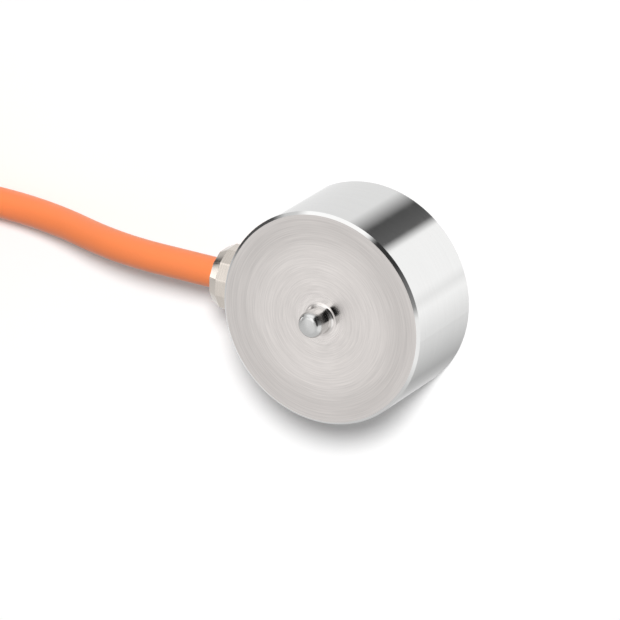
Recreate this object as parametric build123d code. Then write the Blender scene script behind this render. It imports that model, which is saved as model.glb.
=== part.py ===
from build123d import *
import os
from math import asin, atan2, cos, degrees, pi, radians, sin, sqrt, tan

# Miniature compression load cell, standing on its seat ring with the load axis along +Z.
# Origin at the centre of the seat ring, and the cable leaves along -X. Lengths in millimetres.

# Spring body, turned from one bar
body_d = 26.0
body_h = 12.6
rim_chamfer = 0.35
seat_chamfer = 0.3
wall_t = 4.0
membrane_t = 1.3
boss_d = 6.4
boss_h = 2.5
root_fillet = 0.5

# Load pin on the membrane, with a slightly domed end and a well rounded edge
pin_d = 3.2
pin_h = 2.05
pin_edge_r = 0.9
dome_r = 4.0
pin_fillet = 0.5

# Base cover, let into the rear so that only the outer ring carries load
seat_ring_w = 2.4
cover_t = 1.0
cover_recess = 0.3
cover_gap = 0.02

# Circuit board, bonded against a step in the cavity
board_overlap = 0.7
board_t = 0.8
board_drop = 1.5
board_gap = 0.05
board_hole_d = 4.0

# Gland in the side of the body, with a twelve-sided head that narrows towards the cable
gland_z = 7.0
head_d = 8.05
head_sides = 12
head_turn = 12.3
head_out = 3.2
bevel_w = 0.6
bevel_l = 1.15
seat_face_d = 8.4
spigot_d = 5.5
spigot_l = 1.35
thread_gap = 0.03
port_step = 2.4
o_ring_d = 6.7
o_ring_t = 0.6

# Cable, its cores and the ferrule crimped on its inner end
cable_d = 3.7
cable_gap = 0.1
core_d = 0.9
core_offset = 0.62
drain_d = 0.5
ferrule_d = 4.9
ferrule_l = 1.2
ferrule_gap = 0.2
sheath_past_ferrule = 0.3

# Strain gauges: a zigzag foil track on a carrier film
foil_t = 0.05
strand_count = 8
strand_w = 0.08
strand_pitch = 0.14
strand_l = 1.2
loop_l = 0.16
tab_l = 0.5
tab_w = 0.45
tab_lead = 0.1
tab_spacing = 0.55
carrier_t = 0.1
carrier_margin = 0.15
gauge_first_angle = 45.0
gauge_clearance = 0.2
bridge_wire_d = 0.25

# Pads and chip resistors
pad_t = 0.1
cable_pad_l = 1.2
cable_pad_w = 0.9
bridge_pad_l = 0.9
bridge_pad_r = 6.9
resistor_l = 1.6
resistor_w = 0.8
resistor_t = 0.45
resistor_cap = 0.3

# Put-away hank: flat turns folded end to end and tied in the middle
hank_near_x = -55.0
hank_run = 72.0
hank_w = 33.0
hank_near_h = 14.8
hank_waist_h = 12.0
hank_far_h = 11.0
hank_gap = 0.15
waist_w = 15.3
waist_l = 14.0
fold_l = 24.0
fold_corner = 14.0
shoulder_corner = 40.0
waist_corner = 30.0
eye_d = 18.0
eye_tip_d = 2.0
eye_l = 25.0

# Cable tie round the hank's waist
tie_w = 2.6
tie_t = 1.0
tie_corner = 3.0
tie_slack = 0.1
tie_head_w = 4.6
tie_head_t = 3.4
tie_head_l = 5.0
tie_tail_l = 5.5

# Free end: sleeve, flying leads and their tinned tips
sleeve_d = 4.5
sleeve_l = 16.0
sleeve_neck_d = 3.5
sheath_in_sleeve = 10.0
tip_d = 0.45
tip_l = 4.0
pigtail_d = 0.8

# Sizes and places worked out from the ones above
body_r = body_d / 2
cavity_d = body_d - 2 * wall_t
cavity_r = cavity_d / 2
cover_d = body_d - 2 * seat_ring_w
board_d = cavity_d + 2 * board_overlap
membrane_z = body_h - membrane_t
ledge_z = cover_recess + cover_t
board_rear_z = ledge_z + board_drop
board_front_z = board_rear_z + board_t
seat_face_x = sqrt(body_r**2 - (seat_face_d / 2) ** 2)
head_end_x = body_r + head_out
port_end_x = seat_face_x - port_step
spigot_end_x = seat_face_x - spigot_l
ferrule_out_x = sqrt(cavity_r**2 - (ferrule_d / 2) ** 2) - ferrule_gap
sheath_end_x = ferrule_out_x - ferrule_l - sheath_past_ferrule
cable_r = cable_d / 2
core_reach = core_offset * sqrt(2) + core_d / 2
hank_far_x = hank_near_x - hank_run - hank_w
waist_x = (hank_near_x + hank_far_x) / 2

# The cable's route from the ferrule, out of the gland and down to the hank
route = [
    (-sheath_end_x, 0, gland_z),
    (-19, 0, gland_z),
    (-31, -0.2, 6.5),
    (-43, 0.1, 2.6),
    (hank_near_x + hank_gap, 0, cable_r),
]

# The last stretch of cable, from the turns over the waist to the end of its sheath
sleeve_start_x = waist_x - waist_l / 2
sleeve_end_x = sleeve_start_x - sleeve_l
sheath_tip_x = sleeve_start_x - sheath_in_sleeve
tail_z = hank_waist_h + sleeve_d / 2
tail = [
    (waist_x + 34, -11.5, 12.4),
    (waist_x + 19, -5.5, 12.9),
    (waist_x + 5, 0, tail_z),
    (sheath_tip_x, 0, tail_z),
]

# Cable cores as (name, side, level, where it is soldered on the board, how its flying end spreads)
cores = [
    ("red", -1, 1, (-3.6, -1.3), -3.0),
    ("black", -1, -1, (-4.4, -2.7), -6.6),
    ("green", 1, 1, (-3.6, 1.3), 3.2),
    ("white", 1, -1, (-4.4, 2.7), 6.4),
]
drain_pad = (-5.3, 0)


def corner_radii(points):
    """Radii that leave a short straight stretch on every run of a route."""
    points = [Vector(*p) for p in points]
    radii = []
    for before, here, after in zip(points, points[1:], points[2:]):
        first, second = here - before, after - here
        turn = radians(first.get_angle(second))
        radii.append(0.45 * min(first.length, second.length) / tan(turn / 2))
    return radii


def tube(points, diameter, name=None):
    """Round wire, core or cable along straight runs joined by tangent arcs."""
    radii = corner_radii(points)
    path = FilletPolyline(*points, radius=radii)
    solid = sweep(Plane(path @ 0, z_dir=path % 0) * Circle(diameter / 2), path=path)
    if name:
        area = pi * diameter**2 / 4
        print(name, "length", round(path.length, 1), "radii", [round(r, 1) for r in radii])
        print(name, "volume over section times length", round(solid.volume / (area * path.length), 5))
    return solid


def arc_about(start, end, centre):
    """Arc from start to end about a centre, the short way."""
    start, end, centre = Vector(*start), Vector(*end), Vector(*centre)
    out = (start + end) * 0.5 - centre
    middle = centre + out * ((start - centre).length / out.length)
    return ThreePointArc(start, middle, end)


# Gland pieces share one axis: local z is the distance out from the load axis, local x points up
gland_axis = Plane(origin=(0, 0, gland_z), x_dir=(0, 0, 1), z_dir=(-1, 0, 0))


def gland_ring(outer_d, inner_d, start, end):
    """Ring on the gland's axis, from start to end along it."""
    ring = extrude(Circle(outer_d / 2) - Circle(inner_d / 2), end - start)
    return gland_axis * Pos(0, 0, start) * ring


def gland_drill(diameter, start, end):
    """Round tool on the gland's axis, for a bore or a counterbore."""
    return gland_axis * Pos(0, 0, start) * extrude(Circle(diameter / 2), end - start)


def spring_body():
    """Drum, membrane, boss and load pin in one turned profile, with the gland's port bored from the side."""
    pin_r = pin_d / 2
    boss_r = boss_d / 2
    pin_top = body_h + pin_h
    edge_centre = (pin_r - pin_edge_r, pin_top)
    edge_tilt = asin(edge_centre[0] / (dome_r - pin_edge_r))
    dome_centre = (0, pin_top - (dome_r - pin_edge_r) * cos(edge_tilt))
    dome_top = (0, dome_centre[1] + dome_r)
    dome_end = (dome_r * sin(edge_tilt), dome_centre[1] + dome_r * cos(edge_tilt))
    boss_z = membrane_z - boss_h
    seat_r = cover_d / 2 + cover_gap
    board_r = board_d / 2 + board_gap
    foot = (pin_r + pin_fillet, body_h)
    wall_root = (cavity_r, membrane_z - root_fillet)
    boss_root = (boss_r + root_fillet, membrane_z)
    with BuildSketch(Plane.XZ) as section:
        with BuildLine():
            arc_about(dome_top, dome_end, dome_centre)
            arc_about(dome_end, (pin_r, pin_top), edge_centre)
            Line((pin_r, pin_top), (pin_r, body_h + pin_fillet))
            arc_about((pin_r, body_h + pin_fillet), foot, (pin_r + pin_fillet, body_h + pin_fillet))
            Polyline(
                foot,
                (body_r - rim_chamfer, body_h),
                (body_r, body_h - rim_chamfer),
                (body_r, seat_chamfer),
                (body_r - seat_chamfer, 0),
                (seat_r, 0),
                (seat_r, ledge_z),
                (board_r, ledge_z),
                (board_r, board_front_z),
                (cavity_r, board_front_z),
                wall_root,
            )
            arc_about(wall_root, (cavity_r - root_fillet, membrane_z), (cavity_r - root_fillet, wall_root[1]))
            Line((cavity_r - root_fillet, membrane_z), boss_root)
            arc_about(boss_root, (boss_r, wall_root[1]), (boss_root[0], wall_root[1]))
            Polyline((boss_r, wall_root[1]), (boss_r, boss_z), (0, boss_z), dome_top)
        make_face()
    body = revolve(section.sketch, Axis.Z)
    body -= gland_drill(seat_face_d, seat_face_x, body_d)
    body -= gland_drill(o_ring_d, seat_face_x - o_ring_t, body_d)
    body -= gland_drill(spigot_d, port_end_x, body_d)
    body -= gland_drill(cable_d + 2 * cable_gap, ferrule_out_x, body_d)
    return body


def base_cover():
    """Thin disc against the ledge in the rear."""
    return Pos(0, 0, cover_recess) * extrude(Circle(cover_d / 2), cover_t)


def cable_gland():
    """Head with a flat-sided bevel on its outer part, and a round spigot that screws into the port."""
    outline = RegularPolygon(head_d / 2, head_sides, rotation=head_turn)
    straight_l = head_end_x - bevel_l - seat_face_x
    bevel_angle = degrees(atan2(bevel_w, bevel_l))
    head = extrude(outline, straight_l)
    head += Pos(0, 0, straight_l) * extrude(outline, bevel_l, taper=bevel_angle)
    gland = gland_axis * Pos(0, 0, seat_face_x) * head
    gland += gland_drill(spigot_d - 2 * thread_gap, spigot_end_x, seat_face_x)
    return gland - gland_drill(cable_d + 2 * cable_gap, spigot_end_x, head_end_x)


def gland_o_ring():
    """Rubber ring in the counterbore under the head, squeezed nearly square."""
    ring = gland_ring(o_ring_d, spigot_d, seat_face_x - o_ring_t, seat_face_x)
    return chamfer(ring.edges().filter_by(GeomType.CIRCLE), 0.18)


def cable_seal():
    """Rubber bush that the spigot squeezes against the step in the port and onto the cable."""
    return gland_ring(spigot_d - 2 * thread_gap, cable_d, port_end_x, spigot_end_x)


def clamp_ferrule():
    """Crimped ring that keeps the cable from being pulled out of the wall."""
    ring = gland_ring(ferrule_d, cable_d, ferrule_out_x - ferrule_l, ferrule_out_x)
    return chamfer(ring.edges().filter_by(lambda e: e.length > pi * (ferrule_d + cable_d) / 2), 0.15)


def circuit_board():
    """Ring-shaped board against the step in the cavity."""
    return Pos(0, 0, board_rear_z) * extrude(Circle(board_d / 2) - Circle(board_hole_d / 2), board_t)


def cable_pads():
    """Copper pads for the four cores and the drain wire."""
    pad = extrude(Rectangle(cable_pad_w, cable_pad_l), pad_t)
    places = [pad_place for _, _, _, pad_place, _ in cores] + [drain_pad]
    return [Pos(x, y, board_front_z) * pad for x, y in places]


def bridge_pads():
    """Copper pads for the gauge wires, two under each gauge."""
    pad = extrude(Rectangle(bridge_pad_l, tab_w), pad_t)
    return [
        Rot(0, 0, gauge_angle(number)) * Pos(bridge_pad_r, side * tab_spacing / 2, board_front_z) * pad
        for number in range(4)
        for side in (-1, 1)
    ]


def chip_resistor(x, y, turn):
    """Chip under the board: a ceramic body between two plated ends."""
    body_l = resistor_l - 2 * resistor_cap
    lying = (Align.CENTER, Align.CENTER, Align.MAX)
    place = Pos(x, y, board_rear_z) * Rot(0, 0, turn)
    pieces = [place * Box(body_l, resistor_w, resistor_t, align=lying)]
    for side in (-1, 1):
        cap = Box(resistor_cap, resistor_w, resistor_t, align=lying)
        pieces.append(place * Pos(side * (body_l + resistor_cap) / 2, 0, 0) * cap)
    return pieces


def gauge_angle(number):
    """Angle of a gauge round the load axis."""
    return gauge_first_angle + 90 * number


# Lengths along a gauge, from the middle of its strands to the far edge of its tabs
tab_centre = strand_l / 2 + loop_l + tab_lead + tab_l / 2
grid_reach = tab_centre + tab_l / 2
carrier_l = grid_reach + strand_l / 2 + loop_l + 2 * carrier_margin
carrier_shift = (grid_reach - strand_l / 2 - loop_l) / 2
carrier_w = strand_count * strand_pitch + 2 * carrier_margin


def gauge_place(number):
    """Gauges take turns beside the boss and beside the wall, where the membrane strains opposite ways."""
    inner = number % 2 == 0
    beside_boss = boss_d / 2 + root_fillet + gauge_clearance + carrier_l / 2
    beside_wall = cavity_r - root_fillet - 2 * gauge_clearance - carrier_l / 2
    radius = beside_boss - carrier_shift if inner else beside_wall + carrier_shift
    return Rot(0, 0, gauge_angle(number)) * Pos(radius, 0, 0) * Rot(0, 0, 0 if inner else 180)


def gauge_carrier(number):
    """Film that is bonded to the underside of the membrane."""
    film = extrude(Rectangle(carrier_l, carrier_w), carrier_t)
    return gauge_place(number) * Pos(carrier_shift, 0, membrane_z - carrier_t) * film


def gauge_grid(number):
    """Foil track: strands side by side, joined end to end by wide loops, with a solder tab at each end."""
    track = Sketch()
    for i in range(strand_count):
        y = (i - (strand_count - 1) / 2) * strand_pitch
        track += Pos(0, y) * Rectangle(strand_l, strand_w)
    for i in range(strand_count - 1):
        y = (i - (strand_count - 2) / 2) * strand_pitch
        end = 1 if i % 2 else -1
        track += Pos(end * (strand_l + loop_l) / 2, y) * Rectangle(loop_l, strand_pitch + strand_w)
    lead_l = loop_l + tab_lead
    for side in (-1, 1):
        y = side * (strand_count - 1) / 2 * strand_pitch
        track += Pos((strand_l + lead_l) / 2, y) * Rectangle(lead_l, strand_w)
        track += Pos(tab_centre, side * tab_spacing / 2) * Rectangle(tab_l, tab_w)
    foil = extrude(track, foil_t)
    return gauge_place(number) * Pos(0, 0, membrane_z - carrier_t - foil_t) * foil


def bridge_wires(number):
    """Two fine wires from a gauge's tabs down to its pads on the board."""
    top = membrane_z - carrier_t - foil_t
    bottom = board_front_z + pad_t
    bend = (top - bottom) / 4
    to_tab = gauge_place(number) * Pos(tab_centre, 0, 0)
    tab_r = Vector(*to_tab.position).length
    wires = []
    for side in (-1, 1):
        y = side * tab_spacing / 2
        points = [
            (tab_r, y, top),
            (tab_r, y, top - bend),
            (bridge_pad_r, y, bottom + bend),
            (bridge_pad_r, y, bottom),
        ]
        wires.append(Rot(0, 0, gauge_angle(number)) * tube(points, bridge_wire_d))
    return wires


def inner_core(side, level, pad_place):
    """Insulated core from the sheath's end to its pad."""
    y, z = side * core_offset, gland_z + level * core_offset
    pad_x, pad_y = pad_place
    points = [
        (-sheath_end_x, y, z),
        (-sheath_end_x + 0.8, y, z),
        (pad_x, pad_y, z),
        (pad_x, pad_y, board_front_z + pad_t),
    ]
    return tube(points, core_d)


def drain_wire():
    """Bare wire that joins the cable's shield to the board."""
    pad_x, pad_y = drain_pad
    points = [
        (-sheath_end_x, 0, gland_z),
        (pad_x, 0, gland_z),
        (pad_x, pad_y, board_front_z + pad_t),
    ]
    return tube(points, drain_d)


def waist_section():
    """Outline of the bundle where the tie goes round it, with y across and z up."""
    y = waist_w / 2 - tie_corner
    low, high = tie_t + tie_corner, hank_waist_h - tie_corner
    parts = [Pos(side * y, z) * Circle(tie_corner) for side in (-1, 1) for z in (low, high)]
    parts.append(Pos(0, tail_z) * Circle(cable_r + tie_slack))
    return make_hull([edge for part in parts for edge in part.edges()])


def at_waist(sketch, width):
    """Sketch with y across and z up, made a solid of a given width about the middle of the waist."""
    plane = Plane(origin=(waist_x - width / 2, 0, 0), x_dir=(0, 1, 0), z_dir=(1, 0, 0))
    return plane * extrude(sketch, width)


def hank_eye(side):
    """Opening inside the folds at one end, round at the fold and narrow towards the waist."""
    fold_x = waist_x + side * hank_run / 2
    parts = [
        Pos(fold_x, 0) * Circle(eye_d / 2),
        Pos(fold_x - side * eye_l, 0) * Circle(eye_tip_d / 2),
    ]
    return extrude(make_hull([edge for part in parts for edge in part.edges()]), hank_near_h)


def cable_hank():
    """Outer shape of the folded turns, and the last stretch of cable that lies over them."""
    edge, waist = hank_w / 2, waist_w / 2
    near_fold, far_fold = hank_near_x - fold_l, hank_far_x + fold_l
    near_waist, far_waist = waist_x + waist_l / 2, waist_x - waist_l / 2
    one_side = [
        (hank_near_x, edge),
        (near_fold, edge),
        (near_waist, waist),
        (far_waist, waist),
        (far_fold, edge),
        (hank_far_x, edge),
    ]
    corners = [fold_corner, shoulder_corner, waist_corner, waist_corner, shoulder_corner, fold_corner]
    other_side = [(x, -y) for x, y in reversed(one_side)]
    plan = make_face(FilletPolyline(*one_side, *other_side, radius=corners * 2, close=True))
    profile = Polyline(
        (hank_near_x, 0),
        (hank_near_x, hank_near_h),
        (near_fold, hank_near_h),
        (near_waist, hank_waist_h),
        (far_waist, hank_waist_h),
        (hank_far_x, hank_far_h),
        (hank_far_x, 0),
        close=True,
    )
    side_view = Plane.XZ * make_face(profile)
    hank = extrude(plan, hank_near_h) & extrude(side_view, edge, both=True)
    hank -= hank_eye(1) + hank_eye(-1)
    hank -= Pos(waist_x, 0, 0) * Box(tie_w, hank_w, 4 * hank_near_h)
    hank += at_waist(waist_section(), tie_w)
    return hank + tube(tail, cable_d)


def hank_tie():
    """Nylon strap round the waist, with its locking head on one side and the end that comes out of it."""
    bundle = waist_section()
    strap = at_waist(offset(bundle, tie_t) - bundle, tie_w)
    head_y = waist_w / 2 + tie_t
    head_z = (tie_t + hank_waist_h) / 2
    standing = (Align.CENTER, Align.MIN, Align.CENTER)
    head = Pos(waist_x, head_y, head_z) * Box(tie_head_w, tie_head_t, tie_head_l, align=standing)
    head = chamfer(head.edges().filter_by(Axis.X), 0.6)
    end_z = head_z + (tie_head_l + tie_tail_l) / 2
    end = Pos(waist_x, head_y + tie_t, end_z) * Box(tie_w, tie_t, tie_tail_l, align=standing)
    return strap + head + end


def end_sleeve():
    """Shrunk sleeve: wide over the end of the sheath, and narrow round the leads."""
    shoulder = sheath_in_sleeve + 1
    profile = Polyline(
        (cable_r, 0),
        (sleeve_d / 2, 0),
        (sleeve_d / 2, sheath_in_sleeve),
        (sleeve_neck_d / 2, shoulder),
        (sleeve_neck_d / 2, sleeve_l),
        (core_reach, sleeve_l),
        (core_reach, shoulder),
        (cable_r, sheath_in_sleeve),
        close=True,
    )
    sleeve = revolve(Plane.XZ * make_face(profile), Axis.Z)
    return Plane(origin=(sleeve_start_x, 0, tail_z), x_dir=(0, 0, 1), z_dir=(-1, 0, 0)) * sleeve


def lead_route(y, z, spread, length):
    """From the end of the sheath out of the sleeve, then down and apart over the far folds."""
    end_x = hank_far_x + length
    out_x = sleeve_end_x - 1.5
    step = (out_x - end_x) / 3
    rest_z = hank_far_h + 1.0
    return [
        (sheath_tip_x, y, z),
        (out_x, y, z),
        (out_x - step, y + 0.3 * (spread - y), z - 0.7),
        (out_x - 2.1 * step, y + 0.72 * (spread - y), rest_z + 0.7),
        (end_x, spread, rest_z),
    ]


def wire_tip(points, diameter):
    """Straight bare end that goes on from the last point of a lead's route."""
    last = Vector(*points[-1])
    along = last - Vector(*points[-2])
    return Plane(last, z_dir=along) * extrude(Circle(diameter / 2), tip_l)


def leads():
    """Four flying leads and the shield pigtail, with a tinned tip on each."""
    found = {}
    for name, side, level, _, spread in cores:
        points = lead_route(side * core_offset, tail_z + level * core_offset, spread, tip_l)
        found["lead_" + name] = tube(points, core_d, "lead_" + name)
        found["tip_" + name] = wire_tip(points, tip_d)
    points = lead_route(0, tail_z, 0.4, tip_l + 1)
    found["shield_pigtail"] = tube(points, pigtail_d, "shield_pigtail")
    found["tip_shield"] = wire_tip(points, tip_d)
    return found


nodes = {
    "spring_body": spring_body(),
    "base_cover": base_cover(),
    "cable_gland": cable_gland(),
    "gland_o_ring": gland_o_ring(),
    "cable_seal": cable_seal(),
    "clamp_ferrule": clamp_ferrule(),
    "circuit_board": circuit_board(),
    "cable_pads": cable_pads(),
    "bridge_pads": bridge_pads(),
    "zero_trim_resistor": chip_resistor(4.6, 0, 90),
    "span_resistor_a": chip_resistor(-2.4, 4.4, 0),
    "span_resistor_b": chip_resistor(-2.4, -4.4, 0),
    "drain_wire": drain_wire(),
    "cable": tube(route, cable_d, "cable"),
    "cable_hank": cable_hank(),
    "hank_tie": hank_tie(),
    "end_sleeve": end_sleeve(),
}
for number in range(4):
    nodes[f"gauge_carrier_{number + 1}"] = gauge_carrier(number)
    nodes[f"gauge_grid_{number + 1}"] = gauge_grid(number)
    nodes[f"bridge_wires_{number + 1}"] = bridge_wires(number)
for name, side, level, pad_place, _ in cores:
    nodes["core_" + name] = inner_core(side, level, pad_place)
nodes.update(leads())

os.makedirs("parts", exist_ok=True)
for name, shape in nodes.items():
    if isinstance(shape, list):
        shape = Compound(children=shape)
    shape.label = name
    export_step(shape, f"parts/{name}.step")
print(len(nodes), "nodes")
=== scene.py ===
import bpy
from math import cos, pi, radians, sin, tan
from mathutils import Euler, Matrix, Vector


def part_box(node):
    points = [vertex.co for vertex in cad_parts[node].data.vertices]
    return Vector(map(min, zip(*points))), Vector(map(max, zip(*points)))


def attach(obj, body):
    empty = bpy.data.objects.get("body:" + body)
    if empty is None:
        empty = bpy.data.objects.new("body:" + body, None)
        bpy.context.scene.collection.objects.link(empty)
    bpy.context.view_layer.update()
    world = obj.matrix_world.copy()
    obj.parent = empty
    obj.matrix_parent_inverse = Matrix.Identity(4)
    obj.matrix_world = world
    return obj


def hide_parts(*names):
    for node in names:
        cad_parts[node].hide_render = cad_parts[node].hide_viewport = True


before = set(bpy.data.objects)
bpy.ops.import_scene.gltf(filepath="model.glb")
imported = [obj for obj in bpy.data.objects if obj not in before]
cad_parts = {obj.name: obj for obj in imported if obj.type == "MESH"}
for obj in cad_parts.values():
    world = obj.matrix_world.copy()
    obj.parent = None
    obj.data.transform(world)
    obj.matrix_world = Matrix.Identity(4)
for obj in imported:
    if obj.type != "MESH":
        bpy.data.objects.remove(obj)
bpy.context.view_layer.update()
mm = 0.001


# Load cell body: one drum of stainless steel, turned and faced in the lathe together with its load pin.
# The fine tool marks run round the load axis, close together on the front and almost polished away on
# the side and the pin.


def add(tree, kind, inputs=(), **settings):
    """One node of a tree, with its settings, and with its inputs as values or as sockets to join."""
    made = tree.nodes.new(kind)
    for name, value in settings.items():
        setattr(made, name, value)
    for key, value in dict(inputs).items():
        if isinstance(value, bpy.types.NodeSocket):
            tree.links.new(value, made.inputs[key])
        else:
            made.inputs[key].default_value = value
    return made


def maths(tree, operation, *values):
    """Result of a sum on numbers or sockets."""
    return add(tree, "ShaderNodeMath", enumerate(values), operation=operation).outputs[0]


def span(tree, value, low, high, out_low=0.0, out_high=1.0):
    """Value taken from one range to another, held at both ends."""
    limits = {"Value": value, "From Min": low, "From Max": high, "To Min": out_low, "To Max": out_high}
    return add(tree, "ShaderNodeMapRange", limits).outputs[0]


def blend(tree, amount, first, second):
    """Colour between two others."""
    made = tree.nodes.new("ShaderNodeMix")
    made.data_type = "RGBA"
    for socket, value in zip((made.inputs[0], made.inputs[6], made.inputs[7]), (amount, first, second)):
        if isinstance(value, bpy.types.NodeSocket):
            tree.links.new(value, socket)
        else:
            socket.default_value = value
    return made.outputs[2]


def group(name, inputs, outputs):
    """Empty shader group with named numbers or vectors in and named sockets out."""
    tree = bpy.data.node_groups.new(name, "ShaderNodeTree")
    for label, value in inputs.items():
        kind = "NodeSocketFloat" if isinstance(value, float) else "NodeSocketVector"
        tree.interface.new_socket(label, in_out="INPUT", socket_type=kind).default_value = value
    for label, kind in outputs.items():
        tree.interface.new_socket(label, in_out="OUTPUT", socket_type="NodeSocket" + kind)
    return tree, tree.nodes.new("NodeGroupInput").outputs, tree.nodes.new("NodeGroupOutput").inputs


def place(tree, shared, **values):
    """Shared group placed in a material with its own values."""
    made = tree.nodes.new("ShaderNodeGroup")
    made.node_tree = shared
    for key, value in values.items():
        socket = made.inputs[key.replace("_", " ").capitalize()]
        if isinstance(value, bpy.types.NodeSocket):
            tree.links.new(value, socket)
        else:
            socket.default_value = value
    return made.outputs


def new_material(name, colour, roughness, metallic=0.0, plain=()):
    """Material with one Principled shader. Returns it with its tree and the shader's inputs."""
    made = bpy.data.materials.new(name)
    made.use_nodes = True
    shader = made.node_tree.nodes["Principled BSDF"].inputs
    shader["Base Color"].default_value = (*colour, 1)
    shader["Roughness"].default_value = roughness
    shader["Metallic"].default_value = metallic
    for label, value in dict(plain).items():
        shader[label].default_value = value
    return made, made.node_tree, shader


def finish_with(material, *nodes):
    """Material put on CAD nodes."""
    for name in nodes:
        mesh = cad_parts[name].data
        mesh.materials.clear()
        mesh.materials.append(material)


def vector(tree, operation, *values):
    """Result of a sum on vectors or sockets."""
    return add(tree, "ShaderNodeVectorMath", enumerate(values), operation=operation).outputs[0]


def tinted(tree, colour, tone):
    """Colour made lighter or darker by a tone around 1."""
    scaled = {0: colour, "Scale": tone}
    return add(tree, "ShaderNodeVectorMath", scaled, operation="SCALE").outputs[0]


def noise(tree, at, scale, detail, roughness=0.5):
    """Noise between 0 and 1 at a place."""
    values = {"Vector": at, "Scale": scale, "Detail": detail, "Roughness": roughness}
    return add(tree, "ShaderNodeTexNoise", values).outputs[0]


# Tool marks: fine lines across a distance, which fade in and out on their way round the piece
tool_marks, given, put = group(
    "tool marks",
    {"Distance": 0.0, "Around": (0.0, 0.0, 0.0), "Pitch": 0.1 * mm, "Depth": 0.002 * mm, "Tone change": 0.1},
    {"Normal": "Vector", "Tone": "Float", "Wear": "Float"},
)
passes = maths(tool_marks, "DIVIDE", given["Distance"], given["Pitch"])
sides = add(tool_marks, "ShaderNodeSeparateXYZ", {0: given["Around"]}).outputs
at = add(tool_marks, "ShaderNodeCombineXYZ", {0: passes, 1: sides[0], 2: sides[1]}).outputs[0]
fine = noise(tool_marks, at, 1.0, 3.0, 0.65)
broad = noise(tool_marks, vector(tool_marks, "MULTIPLY", at, (0.16, 1.0, 1.0)), 1.0, 2.0)
fine_part, broad_part = maths(tool_marks, "MULTIPLY", fine, 0.78), maths(tool_marks, "MULTIPLY", broad, 0.22)
lines = maths(tool_marks, "ADD", fine_part, broad_part)
swing = maths(tool_marks, "MULTIPLY", maths(tool_marks, "SUBTRACT", lines, 0.5), given["Tone change"])
tool_marks.links.new(maths(tool_marks, "ADD", swing, 1.0), put["Tone"])
tool_marks.links.new(broad, put["Wear"])
ridges = add(tool_marks, "ShaderNodeBump", {"Height": fine, "Distance": given["Depth"], "Strength": 1.0})
tool_marks.links.new(ridges.outputs[0], put["Normal"])


def turned_about_z(tree):
    """How far out a point is from the load axis, how far up it, and its direction round the axis."""
    where = add(tree, "ShaderNodeTexCoord").outputs["Object"]
    parts = add(tree, "ShaderNodeSeparateXYZ", {0: where}).outputs
    across = add(tree, "ShaderNodeCombineXYZ", {0: parts[0], 1: parts[1]}).outputs[0]
    out = add(tree, "ShaderNodeVectorMath", {0: across}, operation="LENGTH").outputs["Value"]
    around = vector(tree, "MULTIPLY", vector(tree, "NORMALIZE", across), (1.6, 1.6, 0.0))
    return out, parts[2], around


face_colour = (0.722, 0.685, 0.664, 1)
side_colour = (0.70, 0.70, 0.695, 1)
body_top = 12.6 * mm
pin_top = 14.65 * mm
body_steel, tree, shader = new_material(
    "turned stainless steel", side_colour[:3], 0.2, 1.0, {"Anisotropic": 0.5}
)
out, up, around = turned_about_z(tree)
marks = place(
    tree,
    tool_marks,
    distance=maths(tree, "ADD", out, up),
    around=around,
    pitch=0.13 * mm,
    depth=0.0006 * mm,
    tone_change=0.6,
)
on_face = maths(
    tree,
    "MULTIPLY",
    span(tree, up, body_top - 0.02 * mm, body_top - 0.01 * mm),
    span(tree, up, body_top + 0.3 * mm, body_top + 0.1 * mm),
)
on_dome = span(tree, up, pin_top, pin_top + 0.3 * mm)
coarse = maths(tree, "MULTIPLY", on_face, span(tree, out, 2.4 * mm, 3.2 * mm, 0.15, 1.0))
rough = maths(tree, "ADD", span(tree, coarse, 0, 1, 0.08, 0.32), maths(tree, "MULTIPLY", on_dome, 0.10))
worn = maths(tree, "ADD", rough, span(tree, marks["Wear"], 0.3, 0.7, -0.02, 0.03))
# Painted shade: the face is made darker from 7.6 to 10.6 mm out, and a little lighter again at its edge
painted_rim_shade = span(tree, out, 7.6 * mm, 10.6 * mm, 1.0, 0.85)
painted_rim_lift = span(tree, out, 11.8 * mm, 12.4 * mm, 1.0, 1.05)
face_tone = maths(tree, "MULTIPLY", maths(tree, "MULTIPLY", marks["Tone"], painted_rim_shade), painted_rim_lift)
calm = maths(tree, "ADD", 1.0, maths(tree, "MULTIPLY", maths(tree, "SUBTRACT", marks["Tone"], 1.0), 0.2))
calm = maths(tree, "MULTIPLY", calm, span(tree, on_dome, 0, 1, 1.0, 0.86))
tone = maths(
    tree,
    "ADD",
    maths(tree, "MULTIPLY", on_face, face_tone),
    maths(tree, "MULTIPLY", maths(tree, "SUBTRACT", 1.0, on_face), calm),
)
tree.links.new(tinted(tree, blend(tree, on_face, side_colour, face_colour), tone), shader["Base Color"])
tree.links.new(worn, shader["Roughness"])
tree.links.new(marks["Normal"], shader["Normal"])
across_marks = add(tree, "ShaderNodeTangent", direction_type="RADIAL", axis="Z")
tree.links.new(across_marks.outputs[0], shader["Tangent"])
shader["Anisotropic Rotation"].default_value = 0.25
finish_with(body_steel, "spring_body")


# Base cover: a disc of stainless sheet let into the rear, with a laser weld all round its edge. The weld is a
# row of small overlapping spots, a little proud of the sheet.


def geometry_tree(name, inputs):
    """Empty geometry tree with points and named sizes in and geometry out."""
    tree = bpy.data.node_groups.new(name, "GeometryNodeTree")
    tree.is_modifier = True
    tree.interface.new_socket("Points", in_out="INPUT", socket_type="NodeSocketGeometry")
    for label, value in inputs.items():
        kind = "Int" if isinstance(value, int) else "Float" if isinstance(value, float) else "Vector"
        socket = tree.interface.new_socket(label, in_out="INPUT", socket_type="NodeSocket" + kind)
        socket.default_value = value
    tree.interface.new_socket("Geometry", in_out="OUTPUT", socket_type="NodeSocketGeometry")
    return tree, tree.nodes.new("NodeGroupInput").outputs


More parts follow.
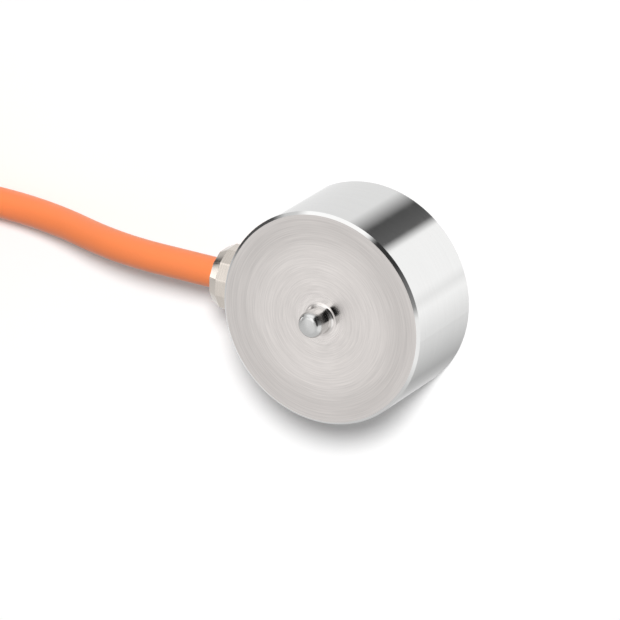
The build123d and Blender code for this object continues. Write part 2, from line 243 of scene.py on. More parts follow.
def end_tree(tree, geometry, material):
    """Last nodes of every geometry tree: real mesh, smooth, in one material."""
    whole = add(tree, "GeometryNodeRealizeInstances", {0: geometry}).outputs[0]
    smooth = add(tree, "GeometryNodeSetShadeSmooth", {0: whole}).outputs[0]
    dressed = add(tree, "GeometryNodeSetMaterial", {"Geometry": smooth, "Material": material}).outputs[0]
    tree.links.new(dressed, tree.nodes.new("NodeGroupOutput").inputs[0])


def grow(name, tree, slot, points=(), **sizes):
    """Plain mesh that a geometry tree makes with its own sizes, riding on the body."""
    made = bpy.data.objects.new(name, bpy.data.meshes.new(name))
    made.data.from_pydata(points, [], [])
    bpy.context.scene.collection.objects.link(made)
    maker = made.modifiers.new("maker", "NODES")
    maker.node_group = tree
    for item in tree.interface.items_tree:
        key = item.name.lower().replace(" ", "_")
        if item.in_out == "INPUT" and key in sizes:
            maker[item.identifier] = sizes[key]
    grown = made.evaluated_get(bpy.context.evaluated_depsgraph_get())
    made.data = bpy.data.meshes.new_from_object(grown)
    made.modifiers.remove(maker)
    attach(made, "root")
    return made


cover_colour = (0.66, 0.65, 0.63)
cover_steel, tree, shader = new_material("rolled stainless sheet", cover_colour, 0.3, 1.0)
where = add(tree, "ShaderNodeTexCoord").outputs["Object"]
along = add(tree, "ShaderNodeSeparateXYZ", {0: where}).outputs
marks = place(
    tree,
    tool_marks,
    distance=along[1],
    around=vector(tree, "MULTIPLY", where, (40.0, 0.0, 0.0)),
    pitch=0.15 * mm,
    depth=0.0006 * mm,
    tone_change=0.2,
)
tree.links.new(tinted(tree, cover_colour, marks["Tone"]), shader["Base Color"])
tree.links.new(span(tree, marks["Wear"], 0.3, 0.7, 0.27, 0.36), shader["Roughness"])
tree.links.new(marks["Normal"], shader["Normal"])
finish_with(cover_steel, "base_cover")

weld_steel, tree, shader = new_material("weld bead", (0.60, 0.57, 0.53), 0.28, 1.0)
where = add(tree, "ShaderNodeTexCoord").outputs["Object"]
heat = noise(tree, where, 900.0, 2.0)
tree.links.new(blend(tree, heat, (0.66, 0.63, 0.59, 1), (0.50, 0.44, 0.37, 1)), shader["Base Color"])

weld_tree, given = geometry_tree(
    "weld seam",
    {
        "Radius": 10 * mm,
        "Level": 0.0,
        "Spots": 100,
        "Spot length": 1 * mm,
        "Spot width": 1 * mm,
        "Spot height": 0.1 * mm,
    },
)
seam_size = {"Vertices": given["Spots"], "Radius": given["Radius"]}
ring = add(weld_tree, "GeometryNodeMeshCircle", seam_size).outputs[0]
spot = add(weld_tree, "GeometryNodeMeshUVSphere", {"Segments": 10, "Rings": 6, "Radius": 0.5}).outputs[0]
outwards = add(weld_tree, "GeometryNodeInputPosition").outputs[0]
turned = add(
    weld_tree, "FunctionNodeAlignEulerToVector", {"Vector": outwards}, axis="X", pivot_axis="Z"
).outputs[0]
spot_size = add(
    weld_tree,
    "ShaderNodeCombineXYZ",
    {0: given["Spot width"], 1: given["Spot length"], 2: given["Spot height"]},
).outputs[0]
uneven = add(
    weld_tree,
    "FunctionNodeRandomValue",
    {"Min": (0.85,) * 3, "Max": (1.1,) * 3, "Seed": 4},
    data_type="FLOAT_VECTOR",
)
row = add(
    weld_tree,
    "GeometryNodeInstanceOnPoints",
    {
        "Points": ring,
        "Instance": spot,
        "Rotation": turned,
        "Scale": vector(weld_tree, "MULTIPLY", spot_size, uneven.outputs[0]),
    },
).outputs[0]
lift = add(weld_tree, "ShaderNodeCombineXYZ", {2: given["Level"]}).outputs[0]
lifted = add(weld_tree, "GeometryNodeTransform", {0: row, "Translation": lift}).outputs[0]
end_tree(weld_tree, lifted, weld_steel)

cover_low, cover_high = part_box("base_cover")
seam_from_edge = 0.12 * mm
grow(
    "weld_seam",
    weld_tree,
    "cover_steel",
    radius=cover_high.x - seam_from_edge,
    level=cover_low.z,
    spots=150,
    spot_length=0.7 * mm,
    spot_width=0.55 * mm,
    spot_height=0.16 * mm,
)


# Gland: a small stainless fitting with a twelve-sided head, milled from bar, with a bright bevel and edges
# just broken, and a rubber ring under it. Its spigot is screwed into the body and squeezes a rubber bush on
# the cable.

gland_z = 7.0 * mm
gland_end_x = -16.2 * mm
head_r = 4.025 * mm
head_sides = 12
head_turn = 12.3
edge_w = 0.16 * mm
gland_colour = (0.68, 0.625, 0.57)
gland_steel, tree, shader = new_material("bright stainless steel", gland_colour, 0.16, 1.0)
where = add(tree, "ShaderNodeTexCoord").outputs["Object"]
along = add(tree, "ShaderNodeSeparateXYZ", {0: where}).outputs
marks = place(
    tree,
    tool_marks,
    distance=along[0],
    around=vector(tree, "MULTIPLY", where, (0.0, 300.0, 0.0)),
    pitch=0.12 * mm,
    depth=0.0004 * mm,
    tone_change=0.4,
)
tree.links.new(tinted(tree, gland_colour, marks["Tone"]), shader["Base Color"])
bevel_w = 1.15 * mm
bevel_start = gland_end_x + bevel_w
milled = span(tree, along[0], bevel_start - 0.02 * mm, bevel_start + 0.02 * mm)
gloss = span(tree, milled, 0, 1, 0.10, 0.24)
gloss = maths(tree, "ADD", gloss, span(tree, marks["Wear"], 0.3, 0.7, -0.02, 0.03))
tree.links.new(gloss, shader["Roughness"])
# Where the point lies on its own flat: 0 in the middle, 1 at the corner. The bevel's flats are a little
# crowned.
half_side = pi / head_sides
turned = maths(tree, "ARCTAN2", maths(tree, "SUBTRACT", along[2], gland_z), along[1])
started = maths(tree, "ADD", turned, radians(head_turn))
on_flat = maths(tree, "SUBTRACT", maths(tree, "WRAP", started, 2 * half_side, 0.0), half_side)
share = maths(tree, "DIVIDE", maths(tree, "TANGENT", maths(tree, "ABSOLUTE", on_flat)), tan(half_side))
from_corner = maths(tree, "MULTIPLY", maths(tree, "SUBTRACT", 1.0, share), head_r * sin(half_side))
near_corner = maths(tree, "SUBTRACT", 1.0, maths(tree, "DIVIDE", from_corner, edge_w))
near_corner = maths(tree, "MAXIMUM", near_corner, 0.0)
broken = maths(tree, "MULTIPLY", maths(tree, "POWER", near_corner, 2.0), -0.5 * edge_w * tan(half_side))
crown = radians(3)
crown_h = span(tree, milled, 0, 1, -0.5 * head_r * sin(half_side) * tan(crown), 0)
fall = maths(tree, "ADD", broken, maths(tree, "MULTIPLY", maths(tree, "POWER", share, 2.0), crown_h))
rounded = {"Height": fall, "Distance": 1.0, "Strength": 1.0, "Normal": marks["Normal"]}
tree.links.new(add(tree, "ShaderNodeBump", rounded).outputs[0], shader["Normal"])
finish_with(gland_steel, "cable_gland")

# Grain: the fine unevenness of rubber, plastic, lacquer and ceramic
grain, given, put = group(
    "grain",
    {"Size": 0.2 * mm, "Depth": 0.002 * mm, "Tone change": 0.1},
    {"Normal": "Vector", "Tone": "Float", "Spread": "Float"},
)
where = add(grain, "ShaderNodeTexCoord").outputs["Object"]
cell = add(grain, "ShaderNodeCombineXYZ", {axis: given["Size"] for axis in range(3)}).outputs[0]
scaled = vector(grain, "DIVIDE", where, cell)
speckle = noise(grain, scaled, 1.0, 3.0, 0.6)
cloud = noise(grain, scaled, 0.07, 2.0)
swing = maths(grain, "SUBTRACT", maths(grain, "ADD", speckle, cloud), 1.0)
grain.links.new(maths(grain, "ADD", maths(grain, "MULTIPLY", swing, given["Tone change"]), 1.0), put["Tone"])
grain.links.new(cloud, put["Spread"])
rise = add(grain, "ShaderNodeBump", {"Height": speckle, "Distance": given["Depth"], "Strength": 1.0})
grain.links.new(rise.outputs[0], put["Normal"])


def grained(name, colour, roughness, size, depth, change=0.12, metallic=0.0, plain=()):
    """Moulded, coated or drawn material: its colour and gloss vary a little with its grain."""
    made, tree, shader = new_material(name, colour, roughness, metallic, plain)
    found = place(tree, grain, size=size, depth=depth, tone_change=change)
    tree.links.new(tinted(tree, colour, found["Tone"]), shader["Base Color"])
    gloss = span(tree, found["Spread"], 0.3, 0.7, roughness - 0.04, roughness + 0.05)
    tree.links.new(gloss, shader["Roughness"])
    tree.links.new(found["Normal"], shader["Normal"])
    return made


black_rubber = grained("black rubber", (0.03, 0.03, 0.03), 0.6, 0.12 * mm, 0.004 * mm)
finish_with(black_rubber, "gland_o_ring", "cable_seal")
crimped_brass = grained("crimped brass", (0.80, 0.62, 0.32), 0.28, 0.2 * mm, 0.002 * mm, 0.15, 1.0)
finish_with(crimped_brass, "clamp_ferrule")


# Circuit board: glass laminate with green lacquer over its woven cloth, with tinned pads and three chip
# resistors that trim the bridge. It is bonded against the step in the body.

laminate, tree, shader = new_material(
    "green lacquered laminate", (0.05, 0.30, 0.12), 0.32, plain={"Coat Weight": 0.4}
)
where = add(tree, "ShaderNodeTexCoord").outputs["Object"]
weave = {"Vector": where, "Scale": 1.0, "Mortar Size": 0.05 * mm}
weave.update({"Brick Width": 0.8 * mm, "Row Height": 0.4 * mm})
cloth = add(tree, "ShaderNodeTexBrick", weave).outputs["Fac"]
found = place(tree, grain, size=0.3 * mm, depth=0.002 * mm, tone_change=0.15)
green = blend(tree, cloth, (0.045, 0.29, 0.11, 1), (0.03, 0.20, 0.08, 1))
tree.links.new(tinted(tree, green, found["Tone"]), shader["Base Color"])
tree.links.new(span(tree, found["Spread"], 0.3, 0.7, 0.28, 0.38), shader["Roughness"])
tree.links.new(found["Normal"], shader["Normal"])
finish_with(laminate, "circuit_board")

tinned = grained("tinned copper", (0.78, 0.77, 0.74), 0.3, 0.15 * mm, 0.004 * mm, 0.14, 1.0)
finish_with(tinned, "cable_pads", "bridge_pads", "drain_wire")


def chip_finish(name, centre, turn):
    """Dark ceramic between two plated ends, told apart by the distance from the chip's middle."""
    made, tree, shader = new_material(name, (0.10, 0.10, 0.11), 0.45)
    where = add(tree, "ShaderNodeTexCoord").outputs["Object"]
    set_on = {0: where, "Location": centre, "Rotation": (0, 0, turn)}
    moved = add(tree, "ShaderNodeMapping", set_on, vector_type="TEXTURE").outputs[0]
    along = maths(tree, "ABSOLUTE", add(tree, "ShaderNodeSeparateXYZ", {0: moved}).outputs[0])
    plated = span(tree, along, 0.49 * mm, 0.51 * mm)
    found = place(tree, grain, size=0.08 * mm, depth=0.003 * mm, tone_change=0.12)
    colour = blend(tree, plated, (0.10, 0.10, 0.11, 1), (0.78, 0.77, 0.74, 1))
    tree.links.new(tinted(tree, colour, found["Tone"]), shader["Base Color"])
    tree.links.new(plated, shader["Metallic"])
    tree.links.new(span(tree, plated, 0, 1, 0.5, 0.3), shader["Roughness"])
    tree.links.new(found["Normal"], shader["Normal"])
    return made


for chip in ("zero_trim_resistor", "span_resistor_a", "span_resistor_b"):
    low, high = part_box(chip)
    turn = 0 if high.x - low.x > high.y - low.y else pi / 2
    finish_with(chip_finish(chip + " finish", (low + high) / 2, turn), chip)


# Strain gauges: four etched foil tracks on amber film, bonded under the membrane, with pairs of enamelled
# copper wires down to the board.

amber_film = grained(
    "amber film", (0.70, 0.38, 0.06), 0.22, 0.2 * mm, 0.001 * mm, 0.12, plain={"Coat Weight": 0.3}
)
etched_foil = grained("etched foil", (0.75, 0.62, 0.48), 0.32, 0.05 * mm, 0.001 * mm, 0.12, 1.0)
enamel = grained(
    "enamelled copper wire", (0.60, 0.25, 0.10), 0.2, 0.1 * mm, 0.001 * mm, 0.15, plain={"Coat Weight": 0.5}
)
for number in range(1, 5):
    finish_with(amber_film, f"gauge_carrier_{number}")
    finish_with(etched_foil, f"gauge_grid_{number}")
    finish_with(enamel, f"bridge_wires_{number}")


# Solder: a small drawn-up cone of solder on every pad, round the end of the core, drain wire or bridge wire
# that is joined there.

solder_tree, given = geometry_tree("solder joints", {"Width": 1 * mm, "Height": 1 * mm})
cone = add(
    solder_tree,
    "GeometryNodeMeshCone",
    {"Vertices": 16, "Side Segments": 5, "Radius Top": 0.25, "Radius Bottom": 0.5, "Depth": 1.0},
).outputs[0]
at = add(solder_tree, "GeometryNodeInputPosition").outputs[0]
level = add(solder_tree, "ShaderNodeSeparateXYZ", {0: at}).outputs[2]
slope = maths(solder_tree, "MULTIPLY", level, maths(solder_tree, "SUBTRACT", 1.0, level))
waist = maths(solder_tree, "SUBTRACT", 1.0, slope)
pulled = add(solder_tree, "ShaderNodeCombineXYZ", {0: waist, 1: waist, 2: 1.0}).outputs[0]
drawn = vector(solder_tree, "MULTIPLY", at, pulled)
wetted = add(solder_tree, "GeometryNodeSetPosition", {0: cone, "Position": drawn}).outputs[0]
joint_size = add(
    solder_tree, "ShaderNodeCombineXYZ", {0: given["Width"], 1: given["Width"], 2: given["Height"]}
)
joints = add(
    solder_tree,
    "GeometryNodeInstanceOnPoints",
    {"Points": given["Points"], "Instance": wetted, "Scale": joint_size.outputs[0]},
).outputs[0]
end_tree(solder_tree, joints, tinned)

pad_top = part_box("cable_pads")[1].z
core_joint_in = 0.45 * mm
drain_joint_in = 0.25 * mm
core_pads_y = (-2.7, -1.3, 1.3, 2.7)
joint_h = 0.45 * mm
core_pad_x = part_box("core_red")[1].x - core_joint_in
drain_pad_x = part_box("drain_wire")[1].x - drain_joint_in
core_joints = [(core_pad_x, y * mm, pad_top) for y in core_pads_y]
drain_joint = [(drain_pad_x, 0, pad_top)]
grow("core_solder", solder_tree, "tinned_copper", core_joints, width=1.15 * mm, height=joint_h)
grow("drain_solder", solder_tree, "tinned_copper", drain_joint, width=0.75 * mm, height=joint_h)

foot_h = 0.01 * mm
wire_from_middle = 0.275 * mm
bridge_joints = []
for number in range(1, 5):
    low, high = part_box(f"bridge_wires_{number}")
    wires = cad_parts[f"bridge_wires_{number}"].data
    feet = [v.co for v in wires.vertices if v.co.z < low.z + foot_h]
    middle = sum(feet, Vector()) / len(feet)
    across = Vector((-middle.y, middle.x, 0)).normalized()
    for side in (-1, 1):
        bridge_joints.append(middle + side * wire_from_middle * across)
grow("bridge_solder", solder_tree, "tinned_copper", bridge_joints, width=0.36 * mm, height=0.25 * mm)


# Cable: one length of round cable with an orange sheath, clamped in the gland. What the photograph doesn't
# show of it is folded end to end into a flat hank with a cable tie round the middle, and it ends in a sleeve.

cable_d = 3.7 * mm
cable_r = cable_d / 2
hank_low, hank_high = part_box("cable_hank")
tie_low, tie_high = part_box("hank_tie")
waist_x = (tie_low.x + tie_high.x) / 2
sleeve_low, sleeve_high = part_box("end_sleeve")
tail_z = (sleeve_low.z + sleeve_high.z) / 2
sheath_in_sleeve = 10 * mm
sheath_tip_x = sleeve_high.x - sheath_in_sleeve

# From the ferrule inside the cell, out of the gland and down to the hank
route = [
    (-6.96, 0, 7.0),
    (-19, 0, 7.0),
    (-31, -0.2, 6.5),
    (-43, 0.1, 2.6),
    (-54.85, 0, 1.85),
    (-72, -0.4, 1.85),
    (-88, -1.5, 2.0),
]
cable_points = [Vector(point) * mm for point in route]

# Two columns of turns, one inside the other: the radius of their folds and their place in the waist
column_gap = 3.75 * mm
fold_r = {"inner": hank_high.y - cable_r - column_gap, "outer": hank_high.y - cable_r}
waist_y = {"inner": 2.1 * mm, "outer": 5.8 * mm}
fold_centre = 36 * mm
waist_half = 9 * mm
layer_h = 3.65 * mm
strap_t = 1.0 * mm
half_step = 15
fold_steps = range(105, -120, -2 * half_step)
# Each turn's column, layer and slack, and how far it makes way for the next strand on its way into the waist
turns_in_hank = [
    ("inner", 0, 1.1, (0.06, -0.13, -1.14)),
    ("outer", 0, 0.15, (-2.13, -0.49, 1.26)),
    ("outer", 1, 1.47, (-0.49, -1.3, 1.29)),
    ("outer", 2, 0.13, (0.71, 0.04, 3.23)),
    ("inner", 2, 0.6, (0.95, 1.02, 0.74)),
    ("inner", 1, 1.18, (0, 0, 0)),
]


def fold(end, column, slack, z):
    """Points round one fold, on a slightly larger circle because the spline cuts inside them."""
    centre_x = waist_x + end * (fold_centre - slack * mm)
    reach = fold_r[column] / cos(radians(half_step))
    return [
        Vector((centre_x + end * reach * cos(radians(step)), end * reach * sin(radians(step)), z))
        for step in fold_steps
    ]


def over_strap(column, side, layer, heading):
    """Two points that carry a strand straight through the waist."""
    y, z = side * waist_y[column], strap_t + cable_r + layer * layer_h
    return [Vector((waist_x - heading * waist_half, y, z)), Vector((waist_x + heading * waist_half, y, z))]


def evened(points, longest=9 * mm):
    """Long steps between points cut into equal short ones, so that the cable bends gently into each fold."""
    run = [points[0]]
    for start, end in zip(points, points[1:]):
        parts = int((end - start).length // longest) + 1
        run += [start.lerp(end, part / parts) for part in range(1, parts + 1)]
    return run


hank_points = over_strap("inner", -1, 0, -1)
for count, (column, layer, slack, way) in enumerate(turns_in_hank):
    hank_points += fold(-1, column, slack, cable_r + layer * layer_h)
    hank_points += over_strap(column, 1, layer, 1)
    hank_points += fold(1, column, slack, 3 * cable_r + layer * cable_d)
    if count + 1 < len(turns_in_hank):
        next_column, next_layer = turns_in_hank[count + 1][:2]
        coming = over_strap(next_column, -1, next_layer, -1)
        hank_points.append((hank_points[-1] + coming[0]) / 2 + Vector(way) * mm)
        hank_points += coming
# The end of the cable slips in under the strand beside it and rises between the columns onto the waist
rise = [
    (26.71, -8.36, 7.84),
    (23.76, -4.26, 7.11),
    (18.31, 0.47, 9.57),
    (10.77, 0.58, 13.64),
    (7.5, 0, tail_z / mm),
]
hank_points += [Vector((waist_x + x * mm, y * mm, z * mm)) for x, y, z in rise]
hank_points.append(Vector((sheath_tip_x, 0, tail_z)))
cable_points += evened(hank_points)


def cord_curve(name, points, diameter, material, steps):
    """Round cord along one smooth spline through its control points."""
    curve = bpy.data.curves.new(name, "CURVE")
    curve.dimensions = "3D"
    curve.resolution_u = steps
    curve.bevel_depth = diameter / 2
    curve.bevel_resolution = 6
    curve.use_fill_caps = True
    spline = curve.splines.new("NURBS")
    spline.points.add(len(points) - 1)
    for made, point in zip(spline.points, points):
        made.co = (*point, 1)
    spline.order_u = 3
    spline.use_endpoint_u = True
    curve.materials.append(material)
    made = bpy.data.objects.new(name, curve)
    bpy.context.scene.collection.objects.link(made)
    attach(made, "root")
    return made


sheath_orange = grained("orange polyurethane sheath", (0.85, 0.225, 0.07), 0.38, 0.25 * mm, 0.003 * mm, 0.05)
cable_cord = cord_curve("cable_cord", cable_points, cable_d, sheath_orange, 8)
cable_cord.visible_glossy = False
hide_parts("cable", "cable_hank")


# Cable tie: one moulded nylon strap with its locking head, pulled tight round the waist of the hank. The
# pawl in the head holds the fine teeth on the inner side of the strap, which show where its end comes out.

natural_nylon = grained(
    "natural nylon", (0.85, 0.85, 0.80), 0.42, 0.3 * mm, 0.002 * mm, 0.05, plain={"Subsurface Weight": 0.1}
)
finish_with(natural_nylon, "hank_tie")

teeth_tree, given = geometry_tree(
    "tie teeth",
    {"First": (0.0, 0.0, 0.0), "Count": 10, "Pitch": 0.5 * mm, "Width": 1 * mm, "Depth": 0.2 * mm},
)
step = add(teeth_tree, "ShaderNodeCombineXYZ", {2: given["Pitch"]}).outputs[0]
row = add(
    teeth_tree,
    "GeometryNodeMeshLine",
    {"Count": given["Count"], "Start Location": given["First"], "Offset": step},
).outputs[0]
bar = add(teeth_tree, "GeometryNodeMeshCylinder", {"Vertices": 3, "Radius": 0.6, "Depth": 1.0}).outputs[0]
lying = add(teeth_tree, "GeometryNodeTransform", {0: bar, "Rotation": (0, pi / 2, 0)}).outputs[0]
tooth_size = add(
    teeth_tree, "ShaderNodeCombineXYZ", {0: given["Width"], 1: given["Depth"], 2: given["Pitch"]}
).outputs[0]
teeth = add(
    teeth_tree, "GeometryNodeInstanceOnPoints", {"Points": row, "Instance": lying, "Scale": tooth_size}
).outputs[0]
end_tree(teeth_tree, teeth, natural_nylon)

# The free end stands up out of the head, within end_depth of its outer side
tie_head_t = 3.4 * mm
end_depth = 2.5 * mm
toothed_l = 4.4 * mm
tie_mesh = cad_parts["hank_tie"].data
free_end = [v.co for v in tie_mesh.vertices if v.co.y > tie_high.y - end_depth]
inner_side_y = tie_high.y - tie_head_t + strap_t
first_tooth_z = max(point.z for point in free_end) - toothed_l
grow(
    "tie_teeth",
    teeth_tree,
    "nylon",
    first=(waist_x, inner_side_y, first_tooth_z),
    count=8,
    pitch=0.55 * mm,
    width=1.7 * mm,
    depth=0.28 * mm,
)


# End sleeve: black heat-shrink tube over the end of the sheath, shrunk down onto the cores behind it. It
# covers the cut where the sheath was stripped and holds the cores and the shield together there.

shrink_tube = grained("black shrink tube", (0.03, 0.03, 0.03), 0.38, 0.4 * mm, 0.004 * mm, 0.2)
finish_with(shrink_tube, "end_sleeve")


# Flying leads: four insulated cores and the gathered shield, which come out of the sleeve and lie apart on
# the far folds, with their bare ends tinned.

core_d = 0.9 * mm
core_offset = 0.62 * mm
pigtail_d = 0.8 * mm
tip_l = 4.0 * mm
lead_out = 1.5 * mm
lead_out_x = sleeve_low.x - lead_out
lead_droop = 0.7 * mm
lead_fold_z = 12.7 * mm
lead_rest_z = 12.0 * mm


def lead_points(y, z, spread, end_x):
    """From the end of the sheath out of the sleeve, then down and apart over the far folds."""
    step = (lead_out_x - end_x) / 3
    return [
        Vector((sheath_tip_x, y, z)),
        Vector((lead_out_x, y, z)),
        Vector((lead_out_x - step, y + 0.3 * (spread - y), z - lead_droop)),
        Vector((lead_out_x - 2.1 * step, y + 0.72 * (spread - y), lead_fold_z)),
        Vector((end_x, spread, lead_rest_z)),
    ]


twist_tree, given = geometry_tree(
    "twisted strands",
    {"Start": (0.0, 0.0, 0.0), "End": (0.0, 0.0, 1.0), "Strand": 0.1 * mm, "Strands": 6, "Turns": 1.0},
)
run = vector(twist_tree, "SUBTRACT", given["End"], given["Start"])
run_length = add(twist_tree, "ShaderNodeVectorMath", {0: run}, operation="LENGTH").outputs["Value"]
helix = add(
    twist_tree,
    "GeometryNodeCurveSpiral",
    {
        "Resolution": 24,
        "Rotations": given["Turns"],
        "Start Radius": given["Strand"],
        "End Radius": given["Strand"],
        "Height": run_length,
    },
).outputs[0]
section = add(
    twist_tree,
    "GeometryNodeCurvePrimitiveCircle",
    {"Resolution": 8, "Radius": maths(twist_tree, "MULTIPLY", given["Strand"], 0.5)},
).outputs[0]
strand = add(twist_tree, "GeometryNodeCurveToMesh", {0: helix, 1: section, "Fill Caps": True}).outputs[0]
centre = add(
    twist_tree,
    "GeometryNodeCurvePrimitiveLine",
    {"End": add(twist_tree, "ShaderNodeCombineXYZ", {2: run_length}).outputs[0]},
).outputs[0]
core = add(twist_tree, "GeometryNodeCurveToMesh", {0: centre, 1: section, "Fill Caps": True}).outputs[0]
places = add(twist_tree, "GeometryNodePoints", {"Count": given["Strands"], "Position": (0, 0, 0)}).outputs[0]
share = maths(twist_tree, "DIVIDE", 2 * pi, given["Strands"])
angle = maths(twist_tree, "MULTIPLY", add(twist_tree, "GeometryNodeInputIndex").outputs[0], share)
turned = add(twist_tree, "ShaderNodeCombineXYZ", {2: angle}).outputs[0]
strands = add(
    twist_tree, "GeometryNodeInstanceOnPoints", {"Points": places, "Instance": strand, "Rotation": turned}
).outputs[0]
both = twist_tree.nodes.new("GeometryNodeJoinGeometry")
twist_tree.links.new(strands, both.inputs[0])
twist_tree.links.new(core, both.inputs[0])
pointing = add(twist_tree, "FunctionNodeAlignRotationToVector", {"Vector": run}, axis="Z").outputs[0]
laid = add(
    twist_tree,
    "GeometryNodeTransform",
    {0: both.outputs[0], "Translation": given["Start"], "Rotation": pointing},
).outputs[0]
end_tree(twist_tree, laid, tinned)


def stripped_end(name, points):
    """Seven tinned strands, twisted together, that go straight on from the end of a lead."""
    along = (points[-1] - points[-2]).normalized()
    made = grow(
        "stripped_end_" + name,
        twist_tree,
        "tinned_copper",
        start=points[-1] - 0.3 * mm * along,
        end=points[-1] + tip_l * along,
        strand=0.15 * mm,
        strands=6,
        turns=1.6,
    )
    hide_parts("tip_" + name)
    return made


lead_end_x = hank_low.x + tip_l
leads = {
    "red": (-1, 1, -3.0, (0.60, 0.03, 0.03)),
    "black": (-1, -1, -6.6, (0.02, 0.02, 0.02)),
    "green": (1, 1, 3.2, (0.03, 0.32, 0.08)),
    "white": (1, -1, 6.4, (0.85, 0.85, 0.83)),
}
for name, (side, level, spread, colour) in leads.items():
    insulation = grained(name + " core insulation", colour, 0.35, 0.1 * mm, 0.001 * mm, 0.08)
    points = lead_points(side * core_offset, tail_z + level * core_offset, spread * mm, lead_end_x)
    lead = cord_curve("flying_lead_" + name, points, core_d, insulation, 12)
    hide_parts("lead_" + name)
    stripped_end(name, points).name
    finish_with(insulation, "core_" + name)

# The shield's strands are twisted into one cord: a pattern of slanting rounds on the cord's own length and
# turn
twisted_shield, tree, shader = new_material("twisted tinned shield", (0.78, 0.77, 0.74), 0.3, 1.0)
on_cord = add(tree, "ShaderNodeTexCoord").outputs["UV"]
along = add(tree, "ShaderNodeSeparateXYZ", {0: on_cord}).outputs
lay = maths(tree, "ADD", maths(tree, "MULTIPLY", along[0], 44.0), maths(tree, "MULTIPLY", along[1], 12.0))
strand_back = maths(tree, "ABSOLUTE", maths(tree, "SINE", maths(tree, "MULTIPLY", lay, pi)))
# Painted shade: the grooves between the strands are made darker than the strands' tops
painted_groove_shade = span(tree, strand_back, 0, 0.6, 0.35, 1.0)
tree.links.new(tinted(tree, (0.78, 0.77, 0.74), painted_groove_shade), shader["Base Color"])
tree.links.new(span(tree, strand_back, 0, 1, 0.5, 0.28), shader["Roughness"])
strands_up = {"Height": strand_back, "Distance": 0.06 * mm, "Strength": 1.0}
tree.links.new(add(tree, "ShaderNodeBump", strands_up).outputs[0], shader["Normal"])

pigtail_points = lead_points(0, tail_z, 0.4 * mm, lead_end_x + 1 * mm)
pigtail = cord_curve("shield_pigtail_cord", pigtail_points, pigtail_d, twisted_shield, 12)
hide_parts("shield_pigtail")
stripped_end("shield", pigtail_points).name


# Room: a plain white floor under plain soft light, with the camera where the photograph was taken from.
# The photograph shows the cell lying on its side, so the camera is rolled to see the standing cell the same
# way.

view_azimuth = radians(40.13)
view_elevation = radians(54.81)
view_roll = radians(-121.96)
view_target = Vector((-1.246, 0.925, 12.852)) * mm
view_distance = 695.56 * mm
camera_data = bpy.data.cameras.new("camera")
camera_data.lens = 348.4
camera_data.sensor_width = 36.0
camera_data.clip_start = 10 * mm
camera_data.clip_end = 50.0
camera = bpy.data.objects.new("camera", camera_data)
bpy.context.scene.collection.objects.link(camera)
facing = Euler((pi / 2 - view_elevation, 0, view_azimuth + pi / 2)).to_matrix().to_4x4()
stand_off = Matrix.Translation((0, 0, view_distance))
rolled = Matrix.Rotation(view_roll, 4, "Z")
camera.matrix_world = Matrix.Translation(view_target) @ facing @ stand_off @ rolled
bpy.context.scene.camera = camera

floor_mesh = bpy.data.meshes.new("floor")
floor_half = 6.0
floor_drop = 0.05 * mm
corners = [(-1, -1), (1, -1), (1, 1), (-1, 1)]
floor_corners = [(x * floor_half, y * floor_half, -floor_drop) for x, y in corners]
floor_mesh.from_pydata(floor_corners, [], [(0, 1, 2, 3)])
floor = bpy.data.objects.new("floor", floor_mesh)
bpy.context.scene.collection.objects.link(floor)
floor.visible_glossy = False
white_lift = 0.07
floor_white, tree, shader = new_material(
    "white floor", (0.94, 0.94, 0.94), 1.0, plain={"Specular IOR Level": 0.0}
)
to_camera = add(tree, "ShaderNodeLightPath").outputs["Is Camera Ray"]
shader["Emission Color"].default_value = (1, 1, 1, 1)
tree.links.new(maths(tree, "MULTIPLY", to_camera, white_lift), shader["Emission Strength"])
floor_mesh.materials.append(floor_white)

key_azimuth = radians(54)
key_elevation = radians(51)
key_data = bpy.data.lights.new("key", "SUN")
key_data.energy = 3.1
key_data.angle = radians(13)
key = bpy.data.objects.new("key", key_data)
key.rotation_euler = Euler((pi / 2 - key_elevation, 0, key_azimuth + pi / 2))
key.visible_glossy = False
bpy.context.scene.collection.objects.link(key)

# The light tent that bare metal mirrors: a pale roof, walls of white cloth with one black flag, and the table
# below, as plain panels by azimuth in degrees. Lit screens and dark flags stand in front of them
world = bpy.data.worlds.new("studio")
bpy.context.scene.world = world
world.use_nodes = True
sky = world.node_tree
direction = add(sky, "ShaderNodeTexCoord").outputs["Generated"]
parts = add(sky, "ShaderNodeSeparateXYZ", {0: direction}).outputs
azimuth = maths(sky, "MULTIPLY", maths(sky, "ARCTAN2", parts[1], parts[0]), 180 / pi)
elevation = maths(sky, "MULTIPLY", maths(sky, "ARCSINE", parts[2]), 180 / pi)


def patch(centre_azimuth, centre_elevation, half_width, half_height, edge, slope=0.0):
    """1 inside a rounded patch of the tent, in degrees, and 0 past its soft edge. It may lie on a slope."""
    beside = maths(sky, "WRAP", maths(sky, "SUBTRACT", azimuth, centre_azimuth), 180.0, -180.0)
    leaning = maths(sky, "MULTIPLY", beside, slope)
    above = maths(sky, "SUBTRACT", maths(sky, "SUBTRACT", elevation, centre_elevation), leaning)
    across = maths(sky, "DIVIDE", beside, half_width)
    along = maths(sky, "DIVIDE", above, half_height)
    reach = maths(sky, "ADD", maths(sky, "POWER", across, 4.0), maths(sky, "POWER", along, 4.0))
    return span(sky, maths(sky, "POWER", reach, 0.25), 1 + edge, 1 - edge)


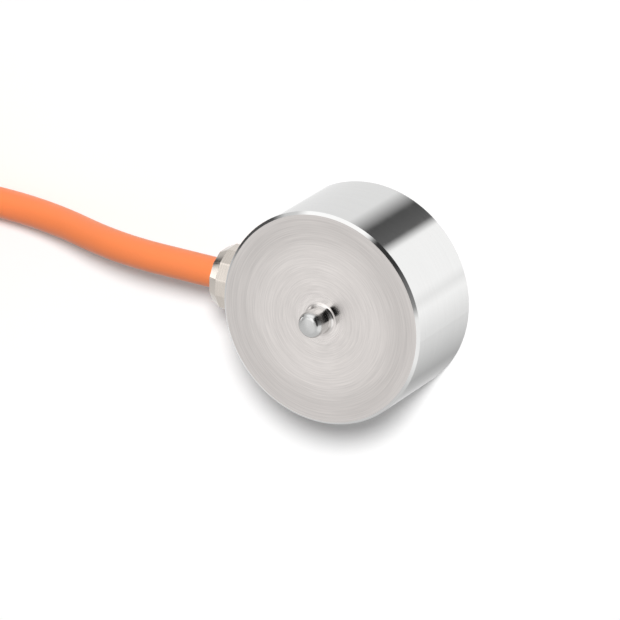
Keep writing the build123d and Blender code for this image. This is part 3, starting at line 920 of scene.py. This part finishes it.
def band(levels):
    """Brightness of one band of the tent all the way round, from pairs of an azimuth and a level."""
    brightest = max(level for _, level in levels)
    curve = add(sky, "ShaderNodeFloatCurve", {"Value": span(sky, azimuth, -180, 180)})
    points = curve.mapping.curves[0].points
    points[0].location = (0, levels[0][1] / brightest)
    points[-1].location = (1, levels[-1][1] / brightest)
    for angle, level in levels[1:-1]:
        points.new((angle + 180) / 360, level / brightest)
    for point in points:
        point.handle_type = "VECTOR"
    curve.mapping.update()
    return maths(sky, "MULTIPLY", curve.outputs[0], brightest)


def between(amount, first, second):
    """Brightness between two others."""
    return add(sky, "ShaderNodeMix", {0: amount, 2: first, 3: second}).outputs[0]


roof = [(-180, 1.1), (-100, 1.0), (0, 0.7), (60, 0.8), (85, 1.7)]
roof += [(120, 1.7), (135, 1.2), (155, 1.5), (180, 1.1)]
wall = [(-180, 0.55), (-150, 0.8), (-60, 0.8), (-40, 1.15), (-5, 1.15), (5, 0.35), (45, 0.05), (70, 0.05)]
wall += [(80, 0.85), (140, 0.85), (180, 0.55)]
table = [(-180, 0.95), (-165, 0.95), (-155, 1.2), (-140, 1.15), (-125, 0.7), (-90, 0.5), (-10, 1.25)]
table += [(0, 1.1), (10, 1.25), (60, 1.25), (70, 0.15), (92, 0.1), (115, 1.0), (180, 0.95)]
black_cloth = 0.015
grey_cloth = 0.1
soft_screen = 1.4
bright_screen = 1.9
camera_flag = patch(33, 52, 46, 14, 0.12)
side_flag = patch(170, -3, 17, 7.5, 0.25, -0.6)
table_flag = patch(163, -16, 8, 5.5, 0.2)
side_screen = patch(176, 10, 9, 5, 0.4)
key_screen = patch(109, 27, 30, 17, 0.15)
wall_top = (40, 58)
table_edge = (-28, -42)
tent = between(span(sky, elevation, *wall_top), band(wall), band(roof))
tent = between(camera_flag, tent, black_cloth)
tent = between(side_screen, tent, bright_screen)
tent = between(side_flag, tent, grey_cloth)
tent = between(table_flag, tent, grey_cloth)
tent = between(key_screen, tent, soft_screen)
mirrored = between(span(sky, elevation, *table_edge), tent, band(table))

# Everything that isn't a mirror gets one plain level from all round, and the camera sees white
plain_level = 0.24
ray = add(sky, "ShaderNodeLightPath").outputs
lit = add(sky, "ShaderNodeMix", {0: ray["Is Glossy Ray"], 2: plain_level, 3: mirrored}).outputs[0]
seen = maths(sky, "MAXIMUM", ray["Is Camera Ray"], ray["Is Transmission Ray"])
strength = add(sky, "ShaderNodeMix", {0: seen, 2: lit, 3: 1.0}).outputs[0]
sky.links.new(strength, sky.nodes["Background"].inputs["Strength"])
sky.nodes["Background"].inputs["Color"].default_value = (1, 1, 1, 1)

bpy.context.scene.view_settings.view_transform = "Standard"
